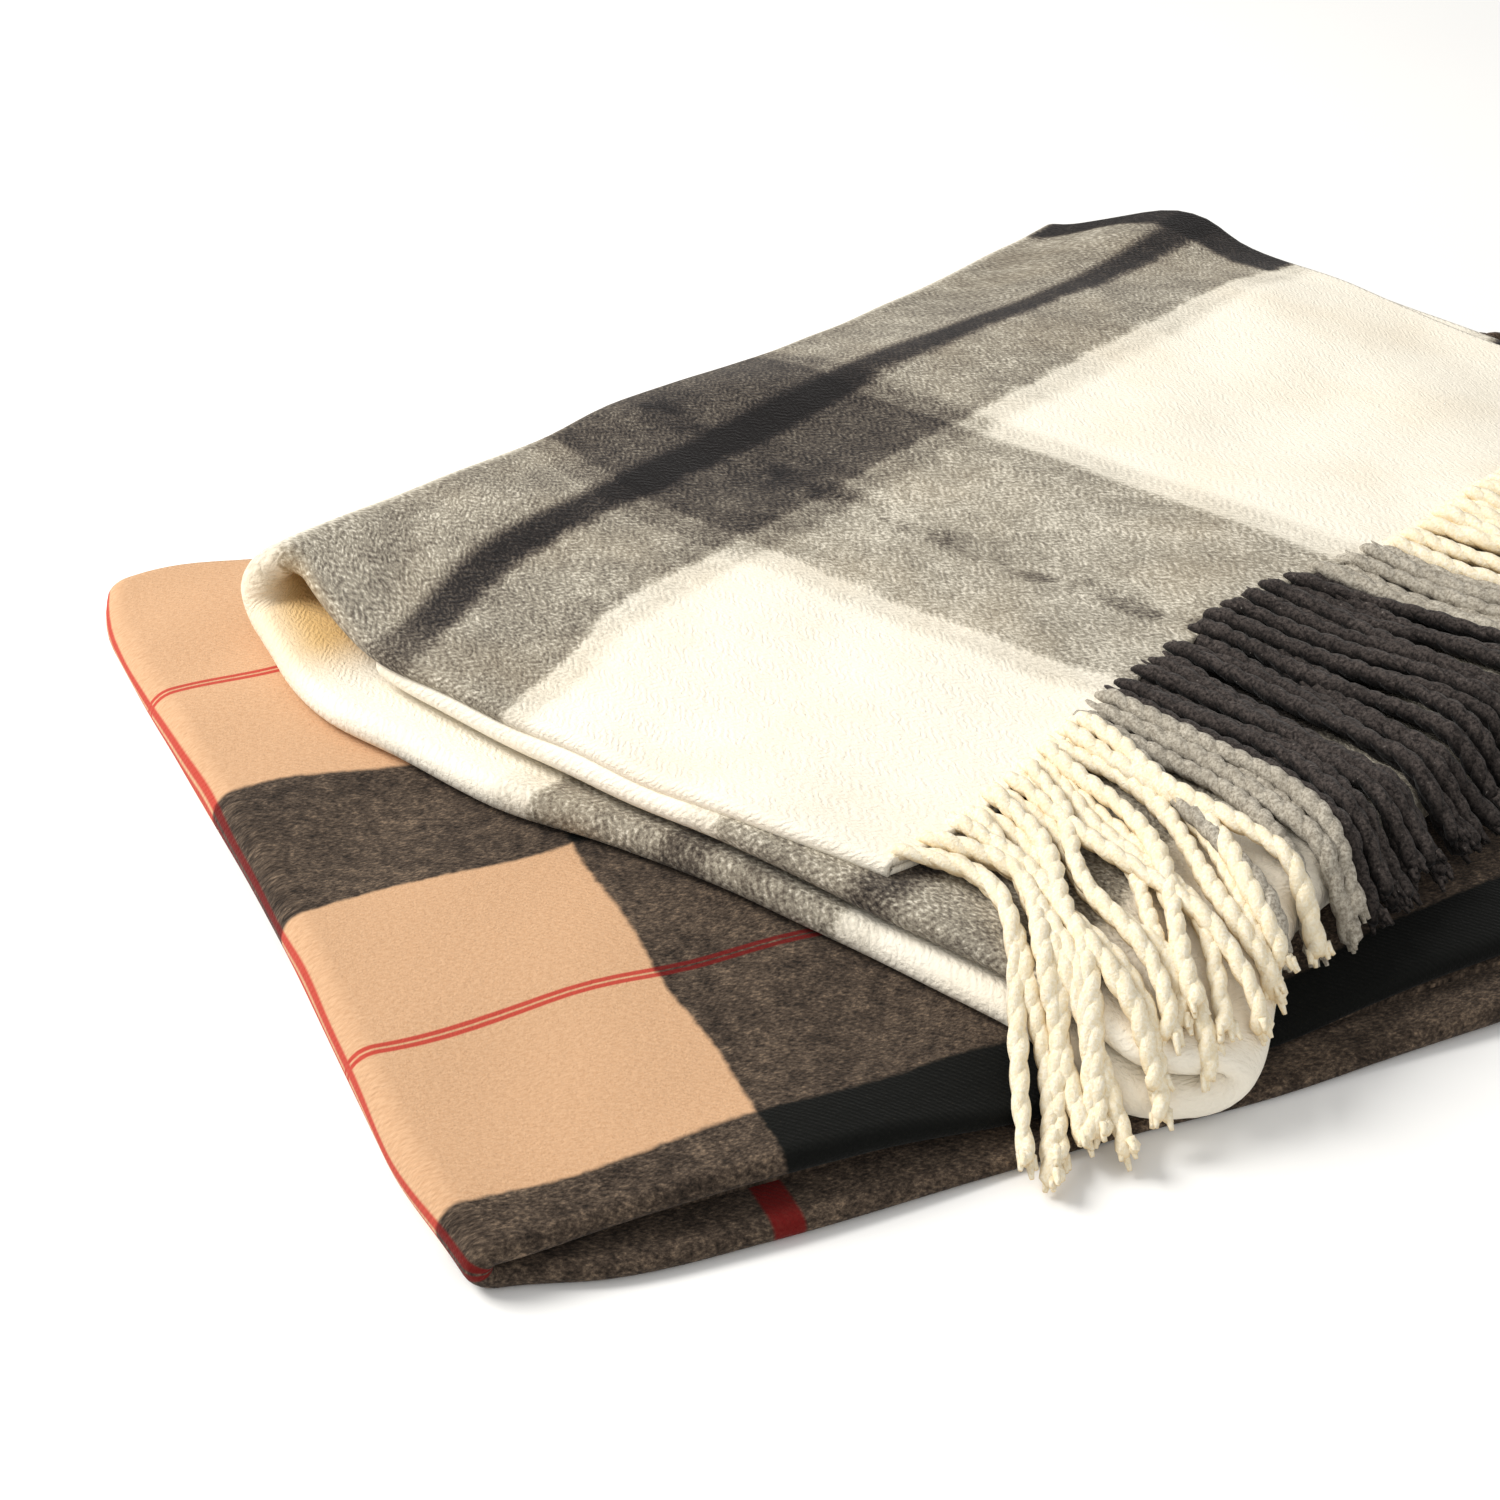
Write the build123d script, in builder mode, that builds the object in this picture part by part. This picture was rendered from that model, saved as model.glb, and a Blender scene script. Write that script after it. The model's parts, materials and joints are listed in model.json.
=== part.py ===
"""Two fringed wool throws, folded and stacked, one lying across the other.

Millimetres, +Z up. The lower throw's front edge runs along +X and its left fold along +Y.
The origin is under the middle of the whole stack, on the surface that it lies on.
Each throw is one cloth. Its folded layers, its folds and its fringes are separate solids.
"""
from math import cos, radians, sin
import os

from build123d import *

# Cloth
clear = 0.3               # gap between layers that move apart
fringe_length = 150.0
strand_radius = 3.7
strand_pitch = 13.0

# Lower throw: folded in thirds across its width, then once along its length
lower_depth = 425.0
lower_length = 572.0
lower_top_step = 12.0     # the top leaf ends this much short of the bottom one
lower_height = 20.0
lower_leaf = (lower_height - clear) / 2
lower_front_step = 14.0   # the bottom leaf stands out past the top leaf in front

# Upper throw: folded in half across its width, then rolled over three times along its length
layer = 7.6
layer_pitch = 8.0
upper_base = lower_height + clear
top_leaf_base = upper_base + 3 * layer_pitch + 0.2
left_end = -29.0          # u of the outer left fold
inner_left_end = 55.0
right_end = 428.0
fringe_root = 300.0       # u where the top leaf's cloth ends
tucked_root = 270.0       # u where the tucked leaf's cloth ends
far_edge = 604.0          # v of the selvedges at the back
front_edges = {"bottom": 6.0, "tucked": 16.0, "second": 10.0, "top": 12.0}

# Where the upper throw lies on the lower one, from the lower throw's front left corner
upper_corner_x = 29.0
upper_corner_y = 340.0
upper_turn = -66.9        # degrees from +X to the direction of u


def upper_point(u, v):
    """A point of the upper throw, from the lower throw's front left corner."""
    c, s = cos(radians(upper_turn)), sin(radians(upper_turn))
    return upper_corner_x + u * c - v * s, upper_corner_y + u * s + v * c


# The origin is under the middle of the stack's box
fringe_end = fringe_root + fringe_length
stack_right = max(lower_length + fringe_length, upper_point(right_end, far_edge - 2)[0])
stack_front = upper_point(fringe_end, front_edges["top"])[1]
stack_back = upper_point(left_end, far_edge)[1]
origin_x = stack_right / 2
origin_y = (stack_front + stack_back) / 2
upper_origin = upper_point(0, 0)


def lower_plane(z=0.0):
    """The lower throw's plane: x along its front edge, y to its back."""
    return Plane(origin=(-origin_x, -origin_y, z))


def upper_plane(z=0.0):
    """The upper throw's plane: u towards its fringe, v to its back."""
    direction = (cos(radians(upper_turn)), sin(radians(upper_turn)), 0)
    corner = (upper_origin[0] - origin_x, upper_origin[1] - origin_y, z)
    return Plane(origin=corner, x_dir=direction, z_dir=(0, 0, 1))


def section_plane(plane, v):
    """A plane across the throw at v: its x is the throw's u and its y is height."""
    return Plane(origin=plane.from_local_coords((0, v, 0)), x_dir=plane.x_dir, z_dir=-plane.y_dir)


def leaf(plane, start, end, front, back, thickness):
    """A flat layer of folded cloth, rounded along its folded front edge."""
    with BuildPart() as slab:
        with BuildSketch(plane):
            with Locations(((start + end) / 2, (front + back) / 2)):
                Rectangle(end - start, back - front)
        extrude(amount=thickness)
        long_edges = slab.edges().filter_by(lambda e: abs(e.length - (end - start)) < 0.01)
        front_pair = long_edges.sort_by(lambda e: plane.to_local_coords(e.center()).Y)[:2]
        fillet(front_pair, radius=layer / 2 - clear)
    return slab


def turn(plane, centre_u, centre_z, outer, inner, front, back, side):
    """A half-round fold between two layers; side is -1 for a left fold, 1 for a right one."""
    with BuildPart() as bend:
        with BuildSketch(section_plane(plane, front)):
            with Locations((centre_u, centre_z)):
                Circle(outer)
                Circle(inner, mode=Mode.SUBTRACT)
            with Locations((centre_u - side * outer, centre_z)):
                Rectangle(2 * outer, 2 * outer, mode=Mode.SUBTRACT)
        extrude(amount=-(back - front))
    return bend


def fringe(plane, root, length, first, last, z_root, z_tip):
    """A row of straight twisted strands from the cloth's end, from v = first to v = last."""
    count = int((last - first) / strand_pitch) + 1
    with BuildPart() as row:
        for index in range(count):
            v = first + index * strand_pitch
            start = plane.from_local_coords((root, v, z_root))
            tip = plane.from_local_coords((root + length, v, z_tip))
            with BuildSketch(Plane(origin=start, z_dir=tip - start)):
                Circle(strand_radius)
            extrude(amount=(tip - start).length)
    return row


def write(builder, name):
    """Label one sub-part and write its STEP file."""
    builder.part.label = name
    export_step(builder.part, f"parts/{name}.step")


os.makedirs("parts", exist_ok=True)

# Lower throw
lower = lower_plane()
lower_radius = lower_height / 2
lower_top_base = lower_height - lower_leaf
lower_front = -lower_front_step

lower_bottom_leaf = leaf(lower, lower_radius, lower_length, lower_front, lower_depth - 3, lower_leaf)
write(lower_bottom_leaf, "lower_bottom_leaf")

lower_top_leaf = leaf(
    lower_plane(lower_top_base), lower_radius, lower_length - lower_top_step, 0, lower_depth,
    lower_leaf,
)
write(lower_top_leaf, "lower_top_leaf")

lower_left_fold = turn(
    lower, lower_radius, lower_radius, lower_radius, clear / 2, 0, lower_depth - 3, -1
)
write(lower_left_fold, "lower_left_fold")

strand_rest = strand_radius + 0.1
lower_bottom_fringe = fringe(
    lower, lower_length, fringe_length, 0, lower_depth - 12, strand_rest, strand_rest
)
write(lower_bottom_fringe, "lower_bottom_fringe")

lower_top_root = lower_length - lower_top_step + clear
lower_top_fringe = fringe(
    lower, lower_top_root, fringe_length - 4, 6, lower_depth - 6,
    lower_top_base + strand_rest, 3 * strand_rest + clear,
)
write(lower_top_fringe, "lower_top_fringe")

# Upper throw, the part that stays put when its top leaf is opened
upper = upper_plane()
outer_radius = (top_leaf_base + layer - upper_base) / 2
right_radius = (2 * layer_pitch + layer) / 2
inner_radius = (layer_pitch + layer) / 2
outer_centre = left_end + outer_radius
right_centre = right_end - right_radius
inner_centre = inner_left_end + inner_radius
tucked_base = upper_base + layer_pitch
second_base = upper_base + 2 * layer_pitch
second_front = front_edges["second"]

upper_bottom_leaf = leaf(
    upper_plane(upper_base), outer_centre, right_centre, front_edges["bottom"], far_edge, layer
)
write(upper_bottom_leaf, "upper_bottom_leaf")

upper_tucked_leaf = leaf(
    upper_plane(tucked_base), inner_centre, tucked_root, front_edges["tucked"], far_edge - 4, layer
)
write(upper_tucked_leaf, "upper_tucked_leaf")

upper_second_leaf = leaf(
    upper_plane(second_base), inner_centre, right_centre, second_front, far_edge - 2, layer
)
write(upper_second_leaf, "upper_second_leaf")

upper_right_fold = turn(
    upper, right_centre, upper_base + right_radius, right_radius, right_radius - layer,
    second_front, far_edge - 2, 1,
)
write(upper_right_fold, "upper_right_fold")

upper_inner_left_fold = turn(
    upper, inner_centre, tucked_base + inner_radius, inner_radius, inner_radius - layer,
    second_front, far_edge - 4, -1,
)
write(upper_inner_left_fold, "upper_inner_left_fold")

tucked_space = right_end - layer - strand_radius - tucked_root
upper_tucked_fringe = fringe(
    upper, tucked_root, tucked_space, front_edges["second"] + 4, far_edge - 12,
    tucked_base + layer / 2, tucked_base + layer / 2,
)
write(upper_tucked_fringe, "upper_tucked_fringe")

upper_outer_left_fold = turn(
    upper, outer_centre, upper_base + outer_radius, outer_radius, outer_radius - layer,
    front_edges["bottom"], far_edge, -1,
)
write(upper_outer_left_fold, "upper_outer_left_fold")

# Upper throw's top leaf and its fringe, which open together about the outer left fold
upper_top_leaf = leaf(
    upper_plane(top_leaf_base), outer_centre, fringe_root, front_edges["top"], far_edge, layer
)
write(upper_top_leaf, "upper_top_leaf")

# The fringe takes the colours of the cloth's bands, front to back
fringe_bands = [
    ("upper_fringe_front_cream", 150.0),
    ("upper_fringe_front_grey", 174.0),
    ("upper_fringe_charcoal", 305.0),
    ("upper_fringe_back_grey", 340.0),
    ("upper_fringe_back_cream", far_edge - 4.0),
]
strand_height = top_leaf_base + layer / 2
band_start = front_edges["top"] + strand_radius
for name, band_end in fringe_bands:
    strands = fringe(
        upper, fringe_root, fringe_length, band_start, band_end, strand_height, strand_height
    )
    write(strands, name)
    band_start += strand_pitch * (int((band_end - band_start) / strand_pitch) + 1)
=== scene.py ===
"""Two folded wool throws with twisted fringes, built as continuous sheets of cloth round the CAD frame.

Shapes are worked out in millimetres: u towards the upper throw's fringe, v to its back, x and y
along and across the lower throw. On each cloth, s is its own length and t its own width, measured
from its front fold. Meshes are in metres, in the frame's own axes.
"""

import json
from math import cos, pi, radians, sin

import bpy
import numpy as np
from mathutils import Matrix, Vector


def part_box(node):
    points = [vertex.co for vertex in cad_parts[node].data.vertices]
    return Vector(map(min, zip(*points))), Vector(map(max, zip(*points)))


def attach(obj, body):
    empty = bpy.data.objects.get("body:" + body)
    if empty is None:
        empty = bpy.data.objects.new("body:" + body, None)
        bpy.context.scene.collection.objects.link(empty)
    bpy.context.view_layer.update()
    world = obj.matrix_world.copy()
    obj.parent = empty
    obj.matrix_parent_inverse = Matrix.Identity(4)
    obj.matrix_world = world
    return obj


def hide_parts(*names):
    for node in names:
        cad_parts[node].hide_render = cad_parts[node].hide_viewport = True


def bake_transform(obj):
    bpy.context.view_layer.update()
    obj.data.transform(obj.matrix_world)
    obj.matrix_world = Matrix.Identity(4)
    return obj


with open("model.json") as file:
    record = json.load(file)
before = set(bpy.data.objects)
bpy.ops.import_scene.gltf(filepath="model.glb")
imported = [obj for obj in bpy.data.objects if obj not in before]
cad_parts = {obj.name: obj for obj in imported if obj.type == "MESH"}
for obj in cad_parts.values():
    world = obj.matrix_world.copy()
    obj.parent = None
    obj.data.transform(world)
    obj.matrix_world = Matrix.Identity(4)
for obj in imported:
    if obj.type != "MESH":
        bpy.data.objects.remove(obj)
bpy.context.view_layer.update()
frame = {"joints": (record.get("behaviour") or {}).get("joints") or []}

MM = 0.001
RELIEF = 0.09            # share of the height that the slow rise and fall takes
LOWEST_LOWER = 1.5       # half a ply of each cloth, so that it lies on the floor
LOWEST_UPPER = 1.75
STRAND_LENGTH = 150.0
STRAND_GAP = 13.0        # between strands of one ply, except in the outer fringe
OUTER_GAP = 12.4
TWIST, OUTER_TWIST = 17, 19   # the length of one turn of a strand's twist
ANY_TURN = 6.28          # a strand's twist may start anywhere in it
TINY = 1e-6
rng = np.random.default_rng(11)

# ---------------------------------------------------------------- the two throws' own axes
lower_origin = np.array([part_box("lower_left_fold")[0].x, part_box("lower_top_leaf")[0].y]) / MM
lower_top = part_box("lower_top_leaf")[1].z / MM
lower_length = (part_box("lower_bottom_leaf")[1].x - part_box("lower_left_fold")[0].x) / MM
lower_top_length = (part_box("lower_top_leaf")[1].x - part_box("lower_left_fold")[0].x) / MM
lower_depth = (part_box("lower_top_leaf")[1].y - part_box("lower_top_leaf")[0].y) / MM

hinge = next(j for j in frame["joints"] if j["name"] == "top_leaf_opening")
hinge_at = np.array(hinge["pos_m"]) / MM
v_axis = -np.array(hinge["axis"])[:2]
v_axis = v_axis / np.linalg.norm(v_axis)
u_axis = np.array([v_axis[1], -v_axis[0]])
HINGE_U, HINGE_V = -13.1, 300.0   # where the hinge is in the upper throw's own axes
upper_origin = hinge_at[:2] - HINGE_U * u_axis - HINGE_V * v_axis
upper_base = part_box("upper_bottom_leaf")[0].z / MM


def smooth(x, lo, hi):
    """0 below lo, 1 above hi, and smooth between them."""
    t = np.clip((np.asarray(x, float) - lo) / (hi - lo), 0, 1)
    return t * t * (3 - 2 * t)


def through(x, points):
    """A smooth line through (x, value) points."""
    px, py = np.array(points, float).T
    t = np.asarray(x, float)
    i = np.clip(np.searchsorted(px, t) - 1, 0, len(px) - 2)
    step = px[i + 1] - px[i]
    k = np.clip((t - px[i]) / step, 0, 1)
    slope = np.gradient(py, px)
    return ((2 * k**3 - 3 * k**2 + 1) * py[i] + (k**3 - 2 * k**2 + k) * step * slope[i]
            + (3 * k**2 - 2 * k**3) * py[i + 1] + (k**3 - k**2) * step * slope[i + 1])


def waves(x, y, length, seed, count=7):
    """Soft uneven relief between about -1 and 1, with waves of that length."""
    own = np.random.default_rng(seed)
    total = 0
    for _ in range(count):
        angle, size = own.uniform(0, 2 * pi), own.uniform(0.7, 1.6) * 2 * pi / length
        total = total + np.sin(size * (cos(angle) * x + sin(angle) * y) + own.uniform(0, 2 * pi))
    return total / (0.75 * count)


# ---------------------------------------------------------------- what lies under what
def support(x, y):
    """Height of what the upper throw lies on: it falls off past each edge of the lower throw."""
    back = 1 - smooth(y, lower_depth - 8, lower_depth + 95)
    front = 1 - smooth(-y, -20, 40)
    right = 1 - 0.45 * smooth(x, lower_top_length - 12, lower_top_length + 60)
    beyond = 1 - smooth(x, lower_top_length + 120, lower_top_length + 190)
    return lower_top * back * front * right * beyond


def press(x, y):
    """How much of its height the lower throw keeps under the upper throw's drooping end."""
    across = smooth(x, 130, 200) * (1 - smooth(x, 285, 350))
    return 1 - 0.45 * smooth(-y, -26, 16) * across


def relief(x, y):
    """Slow rise and fall that goes through all the layers, as a factor on their height."""
    return 1 + RELIEF * (1.2 * waves(x, y, 190, 3) + 0.9 * waves(x, y, 95, 5))


def plan_point(u, v):
    """The place in the frame, and on the lower throw's axes, of a point of the upper throw."""
    wx = u * u_axis[0] + v * v_axis[0] + upper_origin[0]
    wy = u * u_axis[1] + v * v_axis[1] + upper_origin[1]
    return wx, wy, wx - lower_origin[0], wy - lower_origin[1]


def lay_lower(x, y, z):
    """A point of the lower throw, settled and in metres: thinner where the top leaf opens over it."""
    u = ((x + lower_origin[0] - upper_origin[0]) * u_axis[0]
         + (y + lower_origin[1] - upper_origin[1]) * u_axis[1])
    clear = smooth(-u, -15, 25) * (0.18 + 0.06 * (1 + waves(x, y, 85, 8)))
    z = z * (1 - clear) * relief(x, y) * press(x, y)
    z = np.maximum(z, LOWEST_LOWER)
    return np.stack([x + lower_origin[0], y + lower_origin[1], z], -1) * MM


def lay_upper(u, v, z):
    """A point of the upper throw, settled on what is under it and in metres."""
    wx, wy, x, y = plan_point(u, v)
    above = z - upper_base
    ground = support(x, y) * relief(x, y) + 0.5
    lift = above * (1 + 0.035 * waves(u, v, 170, 9)) + 0.7 * waves(u, v, 60, 21) * above / 32
    return np.stack([wx, wy, np.maximum(ground + lift, LOWEST_UPPER)], -1) * MM


# ---------------------------------------------------------------- folded paths and edge profiles
RUN_STEP, TURN_STEPS = 4, 48
NOSE_ANGLES = np.linspace(0, pi / 2, 6)   # round a folded edge, from its nose


class Path:
    """A line that runs straight and turns in arcs, in the plane of u and height.

    Each stage is ("run", length) or ("turn", radius, angle); marks holds the lengths where they meet.
    """

    def __init__(self, start, heading, stages):
        s, angle, position = [0.0], [heading], [np.array(start, float)]
        self.marks = [0.0]
        for kind, *size in stages:
            if kind == "run":
                steps, length, turn = max(2, int(size[0] / RUN_STEP)), size[0], 0.0
                chord = length / steps
            else:
                steps, length, turn = TURN_STEPS, abs(size[1]) * size[0], size[1]
                chord = 2 * size[0] * sin(abs(turn) / steps / 2)
            for _ in range(steps):
                middle = angle[-1] + turn / steps / 2
                position.append(position[-1] + chord * np.array([cos(middle), sin(middle)]))
                angle.append(angle[-1] + turn / steps)
                s.append(s[-1] + length / steps)
            self.marks.append(s[-1])
        self.s, self.angle, self.position = np.array(s), np.array(angle), np.array(position)

    def at(self, s):
        """Position, and the direction away from the fold's inside, at lengths s."""
        u = np.interp(s, self.s, self.position[:, 0])
        z = np.interp(s, self.s, self.position[:, 1])
        a = np.interp(s, self.s, self.angle)
        return u, z, np.sin(a), -np.cos(a)


def samples(marks, coarse, fine, reach):
    """Lengths along a path: close together round its turns, wider apart along its runs."""
    out, s = [marks[0]], marks[0]
    turns = list(zip(marks[1::2], marks[2::2]))
    while s < marks[-1] - TINY:
        near = min(max(a - s, s - b, 0) for a, b in turns)
        ends = min(s - marks[0], marks[-1] - s)
        step = fine + (coarse - fine) * min(1.0, min(near, ends * 2) / reach)
        s = min(s + step, marks[-1])
        out.append(s)
    if out[-1] - out[-2] < fine / 3:
        del out[-2]
    return np.array(out)


def back_columns(depth, coarse, fine=1.2, reach=60):
    """Distances back from a folded edge, close together near it."""
    out, x = [], 0.0
    while x < depth - TINY:
        x = min(x + fine + (coarse - fine) * min(1.0, x / reach), depth)
        out.append(x)
    return np.array(out)


def make_sheet(name, points, s, t, thickness, material):
    """A closed sheet of cloth from a grid of middle points, with its own lengths as UVs."""
    rows, columns = points.shape[:2]
    mesh = bpy.data.meshes.new(name)
    index = np.arange(rows * columns).reshape(rows, columns)
    faces = np.stack([index[:-1, :-1], index[:-1, 1:], index[1:, 1:], index[1:, :-1]], -1)
    mesh.from_pydata(points.reshape(-1, 3).tolist(), [], faces.reshape(-1, 4).tolist())
    uv = mesh.uv_layers.new(name="cloth")
    grid = np.stack([np.broadcast_to(s, (rows, columns)),
                     np.broadcast_to(t, (rows, columns))], -1).reshape(-1, 2) * MM
    loops = np.zeros(len(mesh.loops), int)
    mesh.loops.foreach_get("vertex_index", loops)
    uv.data.foreach_set("uv", grid[loops].astype(np.float32).ravel())
    mesh.polygons.foreach_set("use_smooth", [True] * len(mesh.polygons))
    mesh.materials.append(material)
    piece = bpy.data.objects.new(name, mesh)
    bpy.context.scene.collection.objects.link(piece)
    solid = piece.modifiers.new("thickness", "SOLIDIFY")
    solid.thickness = thickness * MM
    solid.offset = 0.0
    solid.use_even_offset = False
    return piece


# ---------------------------------------------------------------- materials
def linear(r, g, b):
    """A colour given as 0 to 255 display values."""
    out = []
    for c in (r, g, b):
        c = c / 255
        out.append(c / 12.92 if c <= 0.04045 else ((c + 0.055) / 1.055) ** 2.4)
    return (*out, 1.0)


class Graph:
    """Short calls for the shader nodes that the cloths share."""

    def __init__(self, name):
        self.material = bpy.data.materials.new(name)
        self.material.use_nodes = True
        self.tree = self.material.node_tree
        self.shader = self.tree.nodes["Principled BSDF"]

    def put(self, node, slot, value):
        """A socket is linked in and a constant is set."""
        if isinstance(value, bpy.types.NodeSocket):
            self.tree.links.new(value, node.inputs[slot])
        elif value is not None:
            node.inputs[slot].default_value = value

    def math(self, operation, a, b=None, c=None):
        node = self.tree.nodes.new("ShaderNodeMath")
        node.operation = operation
        for slot, value in enumerate((a, b, c)):
            self.put(node, slot, value)
        return node.outputs[0]

    def rise(self, value, lo, hi):
        """0 below lo, 1 above hi, and smooth between them."""
        node = self.tree.nodes.new("ShaderNodeMapRange")
        node.interpolation_type = "SMOOTHSTEP"
        for slot, v in zip(("Value", "From Min", "From Max"), (value, lo, hi)):
            self.put(node, slot, v)
        return node.outputs["Result"]

    def band(self, value, lo, hi, soft):
        """1 between lo and hi, with edges as soft as that on either side."""
        up = self.rise(value, lo - soft, lo + soft)
        down = self.rise(value, hi - soft, hi + soft)
        return self.math("SUBTRACT", up, down)

    def distance(self, value, centre, repeat):
        """Distance to the nearest of a row of lines."""
        shifted = self.math("SUBTRACT", value, centre)
        return self.math("ABSOLUTE", self.math("WRAP", shifted, repeat / 2, -repeat / 2))

    def mix(self, factor, a, b):
        node = self.tree.nodes.new("ShaderNodeMix")
        node.data_type = "RGBA"
        self.put(node, "Factor", factor)
        self.put(node, 6, a)
        self.put(node, 7, b)
        return node.outputs[2]

    def ramp(self, value, *stops):
        node = self.tree.nodes.new("ShaderNodeValToRGB")
        self.put(node, 0, value)
        ramp = node.color_ramp
        ramp.elements[0].position, ramp.elements[0].color = stops[0]
        ramp.elements[1].position, ramp.elements[1].color = stops[-1]
        for position, colour in stops[1:-1]:
            ramp.elements.new(position).color = colour
        return node.outputs[0]

    def noise(self, vector, scale, detail=2.0, roughness=0.5):
        node = self.tree.nodes.new("ShaderNodeTexNoise")
        self.put(node, "Vector", vector)
        self.put(node, "Scale", scale)
        self.put(node, "Detail", detail)
        self.put(node, "Roughness", roughness)
        return node.outputs[0]

    def uv(self, name):
        """The cloth's own lengths in metres: both together, s and t."""
        node = self.tree.nodes.new("ShaderNodeUVMap")
        node.uv_map = name
        parts = self.tree.nodes.new("ShaderNodeSeparateXYZ")
        self.tree.links.new(node.outputs[0], parts.inputs[0])
        return node.outputs[0], parts.outputs[0], parts.outputs[1]

    def stretched(self, vector, x, y):
        """The same lengths on the bias and stretched, for flecks that follow the twill."""
        node = self.tree.nodes.new("ShaderNodeMapping")
        node.inputs["Scale"].default_value = (x, y, 1)
        node.inputs["Rotation"].default_value = (0, 0, radians(45))
        self.tree.links.new(vector, node.inputs[0])
        return node.outputs[0]

    def finish(self, colour, height, depth, sheen):
        """Wool of that colour, with a fine relief in its surface."""
        bump = self.tree.nodes.new("ShaderNodeBump")
        bump.inputs["Distance"].default_value = depth
        bump.inputs["Strength"].default_value = 1.0
        self.tree.links.new(height, bump.inputs["Height"])
        self.tree.links.new(bump.outputs[0], self.shader.inputs["Normal"])
        self.tree.links.new(colour, self.shader.inputs["Base Color"])
        self.shader.inputs["Roughness"].default_value = 0.92
        self.shader.inputs["Specular IOR Level"].default_value = 0.08
        self.shader.inputs["Sheen Weight"].default_value = sheen
        self.shader.inputs["Sheen Roughness"].default_value = 0.45
        return self.material


def weave(g, vector, s, t, pitch):
    """A diagonal twill that turns back and forth, blurred as brushed wool is: about -1 to 1."""
    wander = g.noise(vector, 210.0, 3.0, 0.6)
    turned = g.math("PINGPONG", t, 0.0072)
    phase = g.math("MULTIPLY_ADD", wander, 2.2, g.math("DIVIDE", g.math("ADD", s, turned), pitch))
    return g.math("SINE", g.math("MULTIPLY", phase, 2 * pi))


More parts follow.
